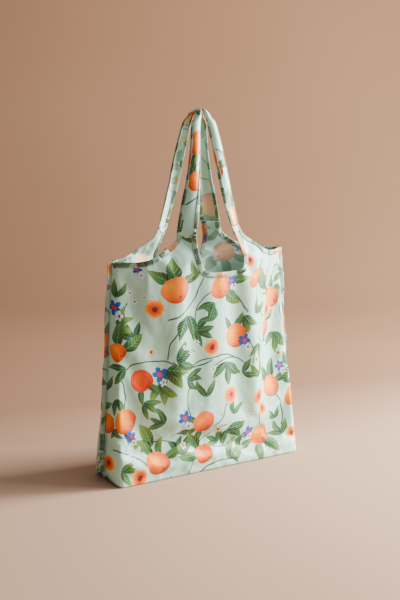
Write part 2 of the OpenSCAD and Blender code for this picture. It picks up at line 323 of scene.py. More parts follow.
def node_group(name, inputs, output):
    """A new node group's tree and inputs. A name ends in a star if it is a vector, and in # if it
    is a colour."""
    tree = bpy.data.node_groups.new(name, "ShaderNodeTree")
    for label, way in [(label, "INPUT") for label in inputs.split()] + [(output, "OUTPUT")]:
        kind = "NodeSocket" + {"*": "Vector", "#": "Color"}.get(label[-1], "Float")
        tree.interface.new_socket(label.rstrip("*#"), in_out=way, socket_type=kind)
    t = Tree(tree)
    return t, t.new("NodeGroupInput").outputs


def close_group(t, value):
    t.new("NodeGroupOutput", value)
    return t.tree


def near_motif(t, into):
    """The way from the nearest repeat of a motif's middle to this point of the cloth."""
    half = (TILE[0] / 2, TILE[1] / 2, 1)
    return t.vector("WRAP", t.vector("SUBTRACT", into["Cloth"], into["At"]), half,
                    tuple(-h for h in half))


def leaf_group():
    t, into = node_group("Leaf", "Cloth* Below* At* Along* Across* Bend Tip", "Place*")
    near = near_motif(t, into)
    x = t.measure("DOT_PRODUCT", near, into["Along"])
    y = t.measure("DOT_PRODUCT", near, into["Across"])
    end = t.math("MULTIPLY_ADD", x, x, -1.0)
    y = t.math("MULTIPLY_ADD", end, into["Bend"], y)
    taper = t.math("POWER", 0.74, x)
    mask = t.math("LESS_THAN", t.math("MULTIPLY_ADD", end, taper, t.math("ABSOLUTE", y)), 0.0)
    place = t.new("ShaderNodeCombineXYZ", x, y, into["Tip"]).outputs[0]
    return close_group(t, t.over(mask, into["Below"], place))


def round_group():
    t, into = node_group("Round", "Cloth* Below* At* Size* Kind*", "Place*")
    place = t.vector("MULTIPLY_ADD", near_motif(t, into), into["Size"], into["Kind"])
    mask = t.math("LESS_THAN", t.measure("LENGTH", place), 1.0)
    return close_group(t, t.over(mask, into["Below"], place))


def branch_group():
    t, into = node_group("Branch", "Cloth* Cover At* Way* Radius Reach", "Cover")
    near = near_motif(t, into)
    ring = t.math("COMPARE", t.measure("LENGTH", near), into["Radius"], TWIG_HALF)
    part = t.math("GREATER_THAN", t.measure("DOT_PRODUCT", near, into["Way"]), into["Reach"])
    return close_group(t, t.math("MAXIMUM", into["Cover"], t.math("MULTIPLY", ring, part)))


class Print:
    """Draws motifs layer by layer. Each layer keeps, for every point of the cloth, the point's
    place within the motif that covers it, and is coloured once at the end."""

    def __init__(self, t, cloth):
        self.t = t
        self.groups = {"leaf": leaf_group(), "round": round_group(), "branch": branch_group()}
        wander = t.new("ShaderNodeTexNoise", cloth)
        wander.inputs["Scale"].default_value = WANDER_SCALE
        wander.inputs["Detail"].default_value = 0.0
        shift = t.vector("SUBTRACT", wander.outputs[1], (0.5, 0.5, 0.5))
        self.drawn = t.vector("MULTIPLY_ADD", shift, (WANDER, WANDER, 0), cloth)

    def draw(self, kind, **values):
        node = self.t.new("ShaderNodeGroup", node_tree=self.groups[kind])
        for key, value in {"Cloth": self.drawn, **values}.items():
            self.t.put(node.inputs[key], value)
        return node.outputs[0]

    def branches(self):
        cover = 0.0
        for u, v, way, radius, span in BRANCHES:
            dx, dy = direction(way)
            cover = self.draw("branch", Cover=cover, At=(u - dx * radius, v - dy * radius, 0),
                              Way=(dx, dy, 0), Radius=float(radius),
                              Reach=radius * math.cos(math.radians(span)))
        return cover

    def spray(self, layer, u, v, way, count, spread, tip, reach=0.0):
        for k in range(count):
            odd = (int(u) * 7 + int(v) * 3 + k * 5) % 5
            length = LEAF_LENGTH + LEAF_VARIES * odd
            width = length * (LEAF_FAT + 0.012 * odd)
            dx, dy = direction(way + (k - (count - 1) / 2) * spread)
            middle = reach + length / 2
            layer = self.draw("leaf", Below=layer, At=(u + middle * dx, v + middle * dy, 0),
                              Along=(2 * dx / length, 2 * dy / length, 0),
                              Across=(-dy / width, dx / width, 0), Bend=LEAF_BEND[k % 2],
                              Tip=1 + tip * (0.5 + 0.25 * (odd % 3)))
        return layer

    def leaves(self):
        layer = NOTHING
        for spray in SPRAYS:
            layer = self.spray(layer, *spray)
        for u, v, radius, way, count, _ in FRUIT:
            layer = self.spray(layer, u, v, way, count, 48, 0.35, reach=radius * 0.55)
        return layer

    def rounds(self, motifs):
        """Round motifs: place, radius and a small number that tells them apart."""
        layer = NOTHING
        for u, v, radius, kind in motifs:
            layer = self.draw("round", Below=layer, At=(u, v, 0),
                              Size=(1 / radius, 1 / radius, 0), Kind=(0, 0, kind))
        return layer


def axes(t, place):
    return [t.measure("DOT_PRODUCT", place, axis) for axis in (X, Y, KIND)]


def drawn(t, kind, under, colour, mask=1.0):
    """The layer's colour where one of its motifs is, and what is under it elsewhere."""
    return t.mix(t.math("MULTIPLY", mask, t.math("GREATER_THAN", kind, -0.5)), under, colour)


def leaf_colour(t, under, place):
    x, y, kind = axes(t, place)
    away = t.math("ABSOLUTE", y)
    side = t.math("MULTIPLY_ADD", y, 0.85, 0.42, clamp=True)
    veins = t.math("FRACT", t.math("MULTIPLY_ADD", x, 3.4, t.math("MULTIPLY", away, -1.7)))
    line = t.math("MAXIMUM", t.math("LESS_THAN", veins, 0.17), t.math("LESS_THAN", away, 0.07))
    colour = t.mix(t.math("MULTIPLY", line, 0.50), t.mix(side, LEAF_SHADE, LEAF_LIT), LEAF_VEIN)
    tip = t.math("MULTIPLY", t.math("SUBTRACT", kind, 1.0),
                 t.math("MULTIPLY_ADD", x, 0.8, 0.55, clamp=True), clamp=True)
    return drawn(t, kind, under, t.mix(tip, colour, LEAF_TIP))


def fruit_colour(t, under, place):
    kind = t.measure("DOT_PRODUCT", place, KIND)
    red = t.math("MULTIPLY", kind, 10.0, clamp=True)
    glow = t.math("MULTIPLY", t.measure("DISTANCE", place, (-0.28, 0.34, 0.0)), 0.66)
    colour = t.mix(red, t.ramp(glow, RIPE), t.ramp(glow, BLUSH))
    pores = t.noise(t.vector("MULTIPLY", place, (14, 14, 14)), 1.0, 1.0)
    colour = t.mix(t.math("MULTIPLY", t.math("GREATER_THAN", pores, 0.60), 0.22), colour, PORE)
    navel = t.measure("DISTANCE", place, (0.42, -0.44, 0.0))
    return drawn(t, kind, under, t.mix(t.math("LESS_THAN", navel, 0.10), colour, NAVEL))


def daisy_colour(t, under, place):
    x, y, kind = axes(t, place)
    petal = t.math("ABSOLUTE", t.math("SINE", t.math(
        "MULTIPLY_ADD", t.math("ARCTAN2", y, x), 5.0, t.math("MULTIPLY", kind, 60.0))))
    radius = t.measure("LENGTH", place)
    groove = t.math("MULTIPLY", t.math("LESS_THAN", petal, 0.24),
                    t.math("GREATER_THAN", radius, 0.35))
    colour = t.mix(t.math("MULTIPLY", groove, 0.55), t.ramp(radius, DAISY), DAISY_GROOVE)
    edge = t.math("MULTIPLY_ADD", petal, 0.24, 0.75)
    return drawn(t, kind, under, colour, t.math("GREATER_THAN", edge, radius))


def blossom_colour(t, under, place):
    x, y, kind = axes(t, place)
    turn = t.math("MULTIPLY", t.math("FRACT", t.math("MULTIPLY", kind, 100.0)), 6.3)
    angle = t.math("ADD", t.math("ARCTAN2", y, x), turn)
    petal = t.math("ABSOLUTE", t.math("COSINE", t.math("MULTIPLY", angle, 2.5)))
    radius = t.measure("LENGTH", place)
    colour = eye = (0, 0, 0)
    for k, (_, petal_colour, eye_colour) in enumerate(KINDS):
        this = t.math("GREATER_THAN", kind, 0.01 * k)
        colour, eye = t.mix(this, colour, petal_colour), t.mix(this, eye, eye_colour)
    colour = t.mix(t.math("MULTIPLY_ADD", petal, -0.6, 0.55, clamp=True), colour, BLOSSOM_GROOVE)
    colour = t.mix(t.math("LESS_THAN", radius, 0.28), colour, eye)
    edge = t.math("MULTIPLY_ADD", petal, 0.52, 0.46)
    return drawn(t, kind, under, colour, t.math("GREATER_THAN", edge, radius))


def print_group():
    """The whole printed repeat, as a colour from a place on the cloth in millimetres."""
    t, into = node_group("Print", "Cloth*", "Color#")
    cloth = into["Cloth"]
    drawing = Print(t, cloth)
    mottle = t.math("MULTIPLY_ADD", t.noise(cloth, 0.30, 3.0, 0.6), 0.5, -0.1, clamp=True)
    colour = t.mix(mottle, GROUND, tuple(0.80 * c for c in GROUND))
    colour = t.mix(drawing.branches(), colour, TWIG)
    colour = leaf_colour(t, colour, drawing.leaves())
    colour = fruit_colour(t, colour, drawing.rounds(
        [(u, v, r, 0.001 + 0.1 * red) for u, v, r, _, _, red in FRUIT]))
    colour = daisy_colour(t, colour, drawing.rounds(
        [(u, v, r, 0.001 * (k + 1)) for k, (u, v, r) in enumerate(DAISIES)]))
    small = [(u, v, r, 0.01 * k + 0.001 * (1 + (int(u) + i) % 8))
             for k, (kind, _, _) in enumerate(KINDS) for i, (u, v, r) in enumerate(BLOSSOMS[kind])]
    return close_group(t, blossom_colour(t, colour, drawing.rounds(small)))


PRINT = print_group()


# ---------------------------------------------------------------- materials
WEAVE = 0.45                # millimetres from thread to thread
CLOTH_GLOSS = {"Sheen Weight": 0.04, "Sheen Roughness": 0.4, "Specular IOR Level": 0.30}


def new_material(name, values):
    """A material, its node tree and its shader, with these plain values on the shader."""
    material = bpy.data.materials.new(name)
    material.use_nodes = True
    shader = material.node_tree.nodes["Principled BSDF"]
    for socket, value in values.items():
        shader.inputs[socket].default_value = value
    return material, Tree(material.node_tree), shader


def set_surface(t, shader, colour, roughness, height, strength, distance):
    bump = t.new("ShaderNodeBump")
    bump.inputs["Strength"].default_value = strength
    bump.inputs["Distance"].default_value = distance
    t.put(bump.inputs["Height"], height)
    t.put(shader.inputs["Base Color"], colour)
    t.put(shader.inputs["Roughness"], roughness)
    t.put(shader.inputs["Normal"], bump.outputs[0])


def cloth_material(name, inside=False, painted_shade=False, offset=(0, 0), roughness=0.42, crinkle=0.35):
    """Printed polyester: the print, a fine plain weave, soft crinkles and a satin sheen."""
    material, t, shader = new_material(name, CLOTH_GLOSS)
    uv = t.new("ShaderNodeUVMap", uv_map="cloth").outputs[0]
    cloth = t.vector("MULTIPLY_ADD", uv, (1 / MM, 1 / MM, 0), (*offset, 0))
    colour = t.new("ShaderNodeGroup", node_tree=PRINT)
    t.put(colour.inputs["Cloth"], cloth)
    colour = colour.outputs[0]
    if inside:
        # The reverse shows the print muted, and is painted paler still as painted light: it stands in
        # for light shining through the thin cloth.
        colour = t.mix(0.40, colour, (0.68, 0.84, 0.75))
    # Painted shade: the binding's print is painted darker and greyer, standing in for the shade it
    # lies in where it turns up over the edges.
    if painted_shade:
        colour = t.mix(0.15, t.vector("MULTIPLY", colour, (0.66, 0.66, 0.66)), (0.25, 0.33, 0.29))
    warp, weft = (t.math("SINE", t.math("MULTIPLY", t.measure("DOT_PRODUCT", cloth, axis),
                                        2 * math.pi / WEAVE)) for axis in (X, Y))
    soft = t.noise(cloth, 0.05, 3.0, 0.55)
    fine = t.noise(cloth, 0.22, 2.0, 0.5)
    height = t.math("MULTIPLY_ADD", t.math("MULTIPLY", warp, weft), 0.006,
                    t.math("MULTIPLY_ADD", fine, 0.35, soft))
    set_surface(t, shader, colour, t.math("MULTIPLY_ADD", fine, 0.16, roughness - 0.08), height,
                crinkle, 0.0022)
    return material


def plain_material(name, colour, roughness, metallic=0.0, grain=8.0, depth_m=0.0002):
    material, t, shader = new_material(name, {"Metallic": metallic})
    place = t.new("ShaderNodeTexCoord").outputs["Object"]
    grainy = t.noise(t.vector("MULTIPLY", place, (1 / MM, 1 / MM, 1 / MM)), grain, 3.0, 0.6)
    set_surface(t, shader, t.mix(grainy, colour, tuple(c * 0.78 for c in colour)),
                t.math("MULTIPLY_ADD", grainy, 0.2, roughness - 0.1), grainy, 0.3, depth_m)
    return material


OUTSIDE = cloth_material("printed_cloth")
INSIDE = cloth_material("printed_cloth_reverse", inside=True)
# The binding is drawn with painted shade.
BINDING = cloth_material("binding_cloth", painted_shade=True, offset=(37, 22), roughness=0.5, crinkle=0.6)
THREAD = plain_material("thread", (0.62, 0.70, 0.66), 0.6, grain=2.0)
STEEL = plain_material("press_stud_steel", (0.62, 0.63, 0.64), 0.32, metallic=1.0, grain=1.2,
                       depth_m=0.00005)
LABEL = plain_material("label_satin", (0.82, 0.82, 0.80), 0.45, grain=3.0)


# ---------------------------------------------------------------- mesh helpers
def new_object(name, points_mm, faces, materials, uvs=None, tags=None):
    """A mesh piece from points in millimetres. uvs holds one place on the cloth per face corner."""
    mesh = bpy.data.meshes.new(name)
    mesh.from_pydata([tuple(p) for p in np.asarray(points_mm, float) * MM], [], faces)
    for material in materials:
        mesh.materials.append(material)
    if uvs is not None:
        layer = mesh.uv_layers.new(name="cloth")
        layer.data.foreach_set("uv", (np.asarray(uvs, np.float32) * MM).ravel())
    if tags is not None:
        mesh.polygons.foreach_set("material_index", tags)
    mesh.polygons.foreach_set("use_smooth", [True] * len(mesh.polygons))
    mesh.update()
    return add_to_scene(name, mesh)


def apply_modifiers(obj):
    dg = bpy.context.evaluated_depsgraph_get()
    done = bpy.data.meshes.new_from_object(obj.evaluated_get(dg), depsgraph=dg)
    old = obj.data
    obj.modifiers.clear()
    obj.data = done
    bpy.data.meshes.remove(old)


def grid_faces(rows, cols, wrap=False):
    """Quads of a grid of points, row by row."""
    return [(r * cols + c, r * cols + (c + 1) % cols, (r + 1) * cols + (c + 1) % cols,
             (r + 1) * cols + c) for r in range(rows - 1) for c in range(cols if wrap else cols - 1)]


def run_along(path):
    """How far along a path each of its points is."""
    return np.concatenate([[0], np.cumsum(np.linalg.norm(np.diff(path, axis=0), axis=1))])


def resample(path, step):
    path = np.asarray(path, float)
    run = run_along(path)
    even = np.linspace(0, run[-1], max(2, int(round(run[-1] / step)) + 1))
    return np.stack([np.interp(even, run, path[:, k]) for k in range(path.shape[1])], axis=1)


def loft(name, rings, material, closed=False, caps=False, uv_at=(0, 0)):
    """A skin over rings of points. u runs round a ring and v along the rings, in millimetres,
    from the place on the print where its first corner lies."""
    rings = np.asarray(rings, float)
    rows, cols = rings.shape[:2]
    faces = grid_faces(rows, cols, closed)
    along = uv_at[1] + run_along(rings.mean(1))
    ring = rings[rows // 3]
    around = uv_at[0] + run_along(np.concatenate([ring, ring[:1]]))
    uvs = [(around[cc], along[rr]) for r in range(rows - 1)
           for c in range(cols if closed else cols - 1)
           for rr, cc in ((r, c), (r, c + 1), (r + 1, c + 1), (r + 1, c))]
    if caps:
        faces += [tuple(range(cols))[::-1], tuple((rows - 1) * cols + c for c in range(cols))]
        uvs += [(around[c], along[0]) for c in range(cols)][::-1]
        uvs += [(around[c], along[-1]) for c in range(cols)]
    return new_object(name, rings.reshape(-1, 3), faces, [material], uvs)


def thicken(obj, thickness_mm=CLOTH, offset=-1.0, inner_slot=1):
    modifier = obj.modifiers.new("thickness", "SOLIDIFY")
    modifier.thickness = thickness_mm * MM
    modifier.offset = offset
    modifier.material_offset = modifier.material_offset_rim = inner_slot
    modifier.use_quality_normals = True


def finder(rings):
    """A function that gives the nearest place on a skin of rings, and the normal there."""
    tree = BVHTree.FromPolygons([Vector(p) for p in rings.reshape(-1, 3)],
                                grid_faces(*rings.shape[:2]))

    def find(point, side):
        place, normal, _, _ = tree.find_nearest(Vector(point))
        return np.array(place), np.array(normal)
    return find


def cloth_sheet(name, rings, thickness=CLOTH, offset=-1.0, uv_at=(0, 0)):
    """A printed sheet with its reverse, and a finder for what is sewn to it."""
    obj = loft(name, rings, OUTSIDE, uv_at=uv_at)
    obj.data.materials.append(INSIDE)
    thicken(obj, thickness, offset)
    return obj, finder(rings)


def curve_points(points, step):
    """Points at an even step along a smooth curve through a few points."""
    p = np.asarray(points, float)
    chord = run_along(p)
    slope = np.gradient(p, chord, axis=0)
    fine = np.linspace(0, chord[-1], max(8, int(chord[-1] * 4)))
    k = np.clip(np.searchsorted(chord, fine, side="right") - 1, 0, len(p) - 2)
    h = (chord[k + 1] - chord[k])[:, None]
    s = ((fine - chord[k]) / h[:, 0])[:, None]
    out = ((1 + 2 * s) * (1 - s) ** 2 * p[k] + s * (1 - s) ** 2 * h * slope[k]
           + s * s * (3 - 2 * s) * p[k + 1] + s * s * (s - 1) * h * slope[k + 1])
    return resample(out, step)


# ---------------------------------------------------------------- pieces' own meshes
POUCH_LOW, POUCH_HIGH = box_mm("stow_pouch")
FLAP_LOW, FLAP_HIGH = box_mm("pouch_flap")


def flattens(obj, body):
    """Gives a piece its own copy of its mesh, the flap as well as the rest."""
    if body == "flap":
        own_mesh(obj)
        return
    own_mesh(obj)


def finish_piece(obj, body, slot, *nodes):
    """Says what a piece rides on and which CAD nodes it stands for. The slot, for what paints it, is
    not used.
    """
    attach(obj, body)
    if nodes:
        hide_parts(*nodes)
    flattens(obj, body)


# ---------------------------------------------------------------- the bag's shell
HALF_COLUMNS, ROW_STEP, BASE_ROWS = 36, 6.0, 16
CROWDING = 0.96             # brings the columns a little closer together towards the seams
SHAKE = 0.25                # random unevenness that the simulation starts from
FRONT, BACK, BASE, LEFT_CORNER, RIGHT_CORNER = range(5)     # the tags of the shell's faces

# Soft folds laid into the cloth: x at the top, x at the foot, depth and half width in mm, and the
# heights between which each shows.
FRONT_FOLDS = [(52, 40, -7.0, 26, 110, 400), (92, 96, 4.5, 24, 60, 400),
               (-62, -40, -3.0, 30, 200, 420), (-128, -150, 4.0, 26, 60, 380),
               (128, 150, -4.5, 18, 120, 380), (0, 10, 3.0, 40, 20, 260),
               (-98, -100, -3.0, 22, 30, 300)]
BACK_FOLDS = [(-60, -84, -6.0, 24, 80, 410), (58, 76, -5.0, 24, 60, 410),
              (118, 140, 4.0, 22, 60, 380), (-126, -144, 3.5, 24, 60, 380)]

# How far the front's neckline is pulled to the right, by height. The back's goes the other way.
NECK_PULL = [(320, 0), (350, 6), (371, 12), (382, 16), (400, 12), (423, 7), (437, 3), (450, 0)]
BACK_PULL = -0.4
RIDGE_FOOT, RIDGE_TOP = 0.50, 0.40      # where the front's ridge runs, as shares of half width
RIDGE_SOFT = 0.06
BACK_PRINT = (205, 60)                  # how far the back's print is moved against the front's


def outline():
    """The panel's top edge as (x, z) in millimetres."""
    right = np.concatenate([curve_points(NECK, 1.0), curve_points(ARMHOLE, 1.0)])
    return np.concatenate([right[::-1] * (-1, 1), right])


def snap_to(points, line):
    """Moves each point to the nearest place on a polyline."""
    a, b = line[:-1], line[1:]
    d = b - a
    out = []
    for p in points:
        k = np.clip(((p - a) * d).sum(1) / np.maximum((d * d).sum(1), 1e-9), 0, 1)
        near = a + d * k[:, None]
        out.append(near[np.argmin(((near - p) ** 2).sum(1))])
    return np.array(out)


def inside(x, z, polygon):
    hit = np.zeros(x.shape, bool)
    for (ax, az), (bx, bz) in zip(polygon, np.roll(polygon, -1, axis=0)):
        if az != bz:
            hit ^= ((az > z) != (bz > z)) & (x < (bx - ax) * (z - az) / (bz - az) + ax)
    return hit


def fold_height(x, z, folds):
    """How far the folds push the cloth outwards."""
    out = 0.0
    for top, foot, deep, half, low, high in folds:
        share = np.clip((z - low) / (high - low), 0, 1)
        line = foot + (top - foot) * share
        out += deep * np.sin(np.pi * share) ** 0.7 * np.exp(-((x - line) / half) ** 2)
    return out


def neck_pull(x, z):
    return table(z, NECK_PULL) * (1 - smooth((abs(x - 5) - 62) / 60))


def front_ridge(x, z):
    """The right side of the front turns away from a soft ridge under the right handle."""
    t = x / half_width(z)
    if t <= 0:
        return 0.0
    at = RIDGE_FOOT + (RIDGE_TOP - RIDGE_FOOT) * z / SIDE_TOP
    turned = (1 - t) / (1 - at)
    share = 0.5 * (1 + turned - math.sqrt((1 - turned) ** 2 + RIDGE_SOFT ** 2))
    shown = smooth((z - 25) / 110) * (1 - smooth((z - 360) / 45))
    return float((share - (1 - t ** LENS)) * half_depth(z) * shown * smooth(t / 0.2))


def flat_x(t, z):
    """Distance round the cloth from the middle of a panel, in millimetres."""
    x = np.linspace(0, 1, 60) * abs(t) * half_width(z)
    y = depth(x, np.full_like(x, z))
    return math.copysign(float(np.hypot(np.diff(x), np.diff(y)).sum()), t)


def cell_middles(grid):
    return (grid[:-1, :-1] + grid[1:, :-1] + grid[1:, 1:] + grid[:-1, 1:]) / 4


def panel_grid():
    """A panel's grid of points, as x and z in millimetres, and which of its cells are cloth. The
    points along the cut edges are moved onto them."""
    columns = np.arange(-HALF_COLUMNS, HALF_COLUMNS + 1) / HALF_COLUMNS
    columns = np.sign(columns) * np.abs(columns) ** CROWDING
    near_crease = np.argmin(np.abs(columns - CREASE))
    columns[near_crease], columns[2 * HALF_COLUMNS - near_crease] = CREASE, -CREASE
    t, z = np.meshgrid(columns, np.arange(0, HEM_TOP + 1, ROW_STEP))
    foot = np.where(np.abs(t) <= CREASE, 0, CORNER_LIFT * (np.abs(t) - CREASE) / (1 - CREASE))
    z = foot + z * np.where(z < SIDE_TOP, (SIDE_TOP - foot) / SIDE_TOP, 1) + np.where(
        z < SIDE_TOP, 0, -foot)
    x = t * half_width(z)
    edge, wide, below = outline(), MOUTH_HALF + 40, -9
    around = [(wide, SIDE_TOP), (wide, below), (-wide, below), (-wide, SIDE_TOP)]
    keep = inside(cell_middles(x), cell_middles(z), np.concatenate([edge, around]))
    keep[:int(330 / ROW_STEP)] = True
    above_seams = slice(int(SIDE_TOP / ROW_STEP), None)
    keep[above_seams, :2] = keep[above_seams, -2:] = False
    used, full = np.zeros(x.shape, bool), np.ones(x.shape, bool)
    for dr in (0, 1):
        for dc in (0, 1):
            part = (slice(dr, dr + keep.shape[0]), slice(dc, dc + keep.shape[1]))
            used[part] |= keep
            full[part] &= keep
    border = used & ~full
    border[0] = False
    border[:, 0] = border[:, -1] = False
    x[border], z[border] = snap_to(np.stack([x[border], z[border]], 1), edge).T
    return x, z, keep


def build_shell():
    """One mesh of front, back and base, sewn together at the side seams."""
    last = 2 * HALF_COLUMNS
    x, z, keep = panel_grid()
    ripple = np.random.default_rng(7).normal(0, SHAKE, (2, *x.shape))
    points, number, flat = [], {}, {}

    def vertex(side, r, c):
        key = ("seam", r, c) if c in (0, last) else (side, r, c)
        if key not in number:
            px, pz = x[r, c], z[r, c]
            out = 0.0
            if key[0] != "seam":
                loose = min(1.0, (1 - abs(px) / half_width(pz)) * 9)
                folds = FRONT_FOLDS if side == FRONT else BACK_FOLDS
                out = depth(px, pz) + SKIN
                out += loose * (fold_height(px, pz, folds) + ripple[side, r, c])
                if side == FRONT:
                    out += front_ridge(px, pz)
                px = px + (1 if side == FRONT else BACK_PULL) * neck_pull(px, pz)
            number[key] = len(points)
            points.append((px, out if side else -out, pz))
        return number[key]

    def cloth_uv(side, r, c):
        if (r, c) not in flat:
            share = float(np.clip(x[r, c] / half_width(z[r, c]), -1, 1))
            flat[r, c] = (flat_x(share, z[r, c]), z[r, c])
        u, v = flat[r, c]
        return (u, v) if side == FRONT else (BACK_PRINT[0] - u, v + BACK_PRINT[1])

    faces, uvs, tags = [], [], []
    for side in (FRONT, BACK):
        for r, c in np.argwhere(keep):
            corners = [(r, c), (r, c + 1), (r + 1, c + 1), (r + 1, c)]
            if side == BACK:
                corners = corners[::-1]
            faces.append([vertex(side, *k) for k in corners])
            uvs += [cloth_uv(side, *k) for k in corners]
            tags.append(side)

    # The base, in lines from each of the front's feet to the back's.
    lines = []
    for c in range(last + 1):
        start, end = vertex(FRONT, 0, c), vertex(BACK, 0, c)
        a, b = np.array(points[start]), np.array(points[end])
        line = [start] * BASE_ROWS
        if c not in (0, last):
            line[1:] = range(len(points), len(points) + BASE_ROWS - 1)
            points += [tuple(a + (b - a) * k / BASE_ROWS) for k in range(1, BASE_ROWS)]
        lines.append([*line, end])
    width, length = 2 * BASE_HALF / last, 2 * BASE_DEPTH / BASE_ROWS
    for c in range(last):
        for k in range(BASE_ROWS):
            corners = {}
            for p in ((c, k), (c, k + 1), (c + 1, k + 1), (c + 1, k)):
                corners.setdefault(lines[p[0]][p[1]], p)
            faces.append(list(corners))
            uvs += [((p[0] - HALF_COLUMNS) * width, -p[1] * length) for p in corners.values()]
            if 2 <= c < last - 2:
                tags.append(BASE)
            else:
                tags.append(LEFT_CORNER if c < HALF_COLUMNS else RIGHT_CORNER)
    return new_object("shell", points, faces, [OUTSIDE] * 5, uvs, tags)


# ---------------------------------------------------------------- letting the cloth settle
FRAMES = 24
PINNED = "pin"
CLOTH_SETTINGS = {
    "quality": 5, "mass": 0.12, "tension_stiffness": 18, "compression_stiffness": 18,
    "shear_stiffness": 6, "bending_stiffness": 1.4, "tension_damping": 8,
    "compression_damping": 8, "shear_damping": 8, "bending_damping": 1.0, "air_damping": 4,
    "shrink_min": -0.022, "vertex_group_mass": PINNED, "pin_stiffness": 1.0}


def pin_weights(obj):
    """Holds hems, seams, base and the pouch's place, and lets the panels between them settle."""
    group = obj.vertex_groups.new(name=PINNED)
    line = outline()
    for v in obj.data.vertices:
        x, y, z = (c / MM for c in v.co)
        at_edge = z > 340 and np.hypot(line[:, 0] - x, line[:, 1] - z).min() < 4
        at_pouch = y > 0 and abs(x) < 70 and 205 < z < 345
        hold = max(1.0 if z < 3 or z > HEM_TOP - 10 or at_pouch else 0.0, 0.75 * at_edge,
                   0.85 * (abs(x) / half_width(z) > 0.985), 0.3 * smooth((30 - z) / 30))
        group.add([v.index], max(0.012, hold), "REPLACE")


def settle(obj):
    """Lets the cloth buckle into soft folds: it is cut a little larger than the shape it fills."""
    pin_weights(obj)
    modifier = obj.modifiers.new("cloth", "CLOTH")
    for key, value in CLOTH_SETTINGS.items():
        setattr(modifier.settings, key, value)
    modifier.settings.effector_weights.gravity = 0.25
    modifier.collision_settings.use_collision = False
    modifier.point_cache.frame_start, modifier.point_cache.frame_end = 1, FRAMES + 2
    for f in range(FRAMES):
        bpy.context.scene.frame_set(f + 1)
    apply_modifiers(obj)
    bpy.context.scene.frame_set(1)


shell = build_shell()
settle(shell)
subdivide = shell.modifiers.new("fine", "SUBSURF")
subdivide.levels = subdivide.render_levels = 1
subdivide.boundary_smooth = "PRESERVE_CORNERS"
apply_modifiers(shell)

SHELL_POINTS = np.array([v.co for v in shell.data.vertices]) / MM
SHELL_TREE = BVHTree.FromObject(shell, bpy.context.evaluated_depsgraph_get())


def part_of(name, tag, node, body):
    """A piece cut from the shell: the faces with this tag."""
    work = bmesh.new()
    work.from_mesh(shell.data)
    bmesh.ops.delete(work, geom=[f for f in work.faces if f.material_index != tag],
                     context="FACES")
    for f in work.faces:
        f.material_index = 0
    mesh = bpy.data.meshes.new(name)
    work.to_mesh(mesh)
    work.free()
    mesh.materials.append(OUTSIDE)
    mesh.materials.append(INSIDE)
    obj = add_to_scene(name, mesh)
    thicken(obj)
    finish_piece(obj, body, "print_cloth", node)


def boundary_loop():
    """The open top edge of the shell, as vertex numbers in order."""
    work = bmesh.new()
    work.from_mesh(shell.data)
    nexts = {}
    for e in work.edges:
        if e.is_boundary:
            a, b = e.verts[0].index, e.verts[1].index
            nexts.setdefault(a, []).append(b)
            nexts.setdefault(b, []).append(a)
    work.free()
    loop, last, here = [min(nexts)], None, min(nexts)
    while True:
        last, here = here, next(v for v in nexts[here] if v != last)
        if here == loop[0]:
            return loop
        loop.append(here)


def near_shell(point_mm, side):
    """The nearest place on the shell and the outward normal there, keeping to one panel."""
    place, normal, _, _ = SHELL_TREE.find_nearest(Vector(point_mm) * MM)
    normal = np.array(normal)
    return np.array(place) / MM, -normal if normal[1] * side < 0 else normal


def edge_segment(loop, start, end, side):
    """The part of the boundary loop between two corners, on one panel, from left to right."""
    points = SHELL_POINTS[loop]
    other_panel = points[:, 1] * side <= -3.0
    i, j = (int(np.argmin(np.hypot(points[:, 0] - x, points[:, 2] - z) + 1e4 * other_panel))
            for x, z in (start, end))
    count = len(loop)
    one = [(i + k) % count for k in range((j - i) % count + 1)]
    two = [(i - k) % count for k in range((i - j) % count + 1)]
    return points[min(one, two, key=len)]


# ---------------------------------------------------------------- bindings and stitches
# The binding's section, where it turns over the edge: how far in from the edge, and how far off the
# cloth's face.
FOLD = [(BIND, 0.35), (BIND - 0.5, 0.95), (BIND * 0.55, 1.15), (1.2, 1.05), (-0.5, 0.75),
        (-0.9, 0.0), (-0.5, -0.75), (1.2, -1.05), (BIND * 0.55, -1.15), (BIND - 0.5, -0.95),
        (BIND, -0.35)]
SEWN_IN = BIND - 1.6        # the row of stitches, in from the edge
OFF_CLOTH = 4               # a place further than this from the cloth is past its end
STITCH, STITCH_GAP = 2.4, 3.4
STITCH_SHAPE = [(0.0, 0.0), (0.22, 1.0), (0.78, 1.0), (1.0, 0.0)]    # share along, and fatness
STITCH_SIDES = 4


def smooth_path(path, passes):
    path = path.copy()
    for _ in range(passes):
        path[1:-1] = 0.25 * path[:-2] + 0.5 * path[1:-1] + 0.25 * path[2:]
    return path


def inward_way(path, tangents, side, find):
    """Which way round the edge the cloth lies: 1 or -1."""
    miss = {1: 0.0, -1: 0.0}
    for p, tangent in list(zip(path, tangents))[2:-2:3]:
        step = unit(np.cross(find(p, side)[1], unit(tangent)))
        for way in miss:
            target = p + step * way * OFF_CLOTH
            miss[way] += np.linalg.norm(find(target, side)[0] - target)
    return min(miss, key=miss.get)


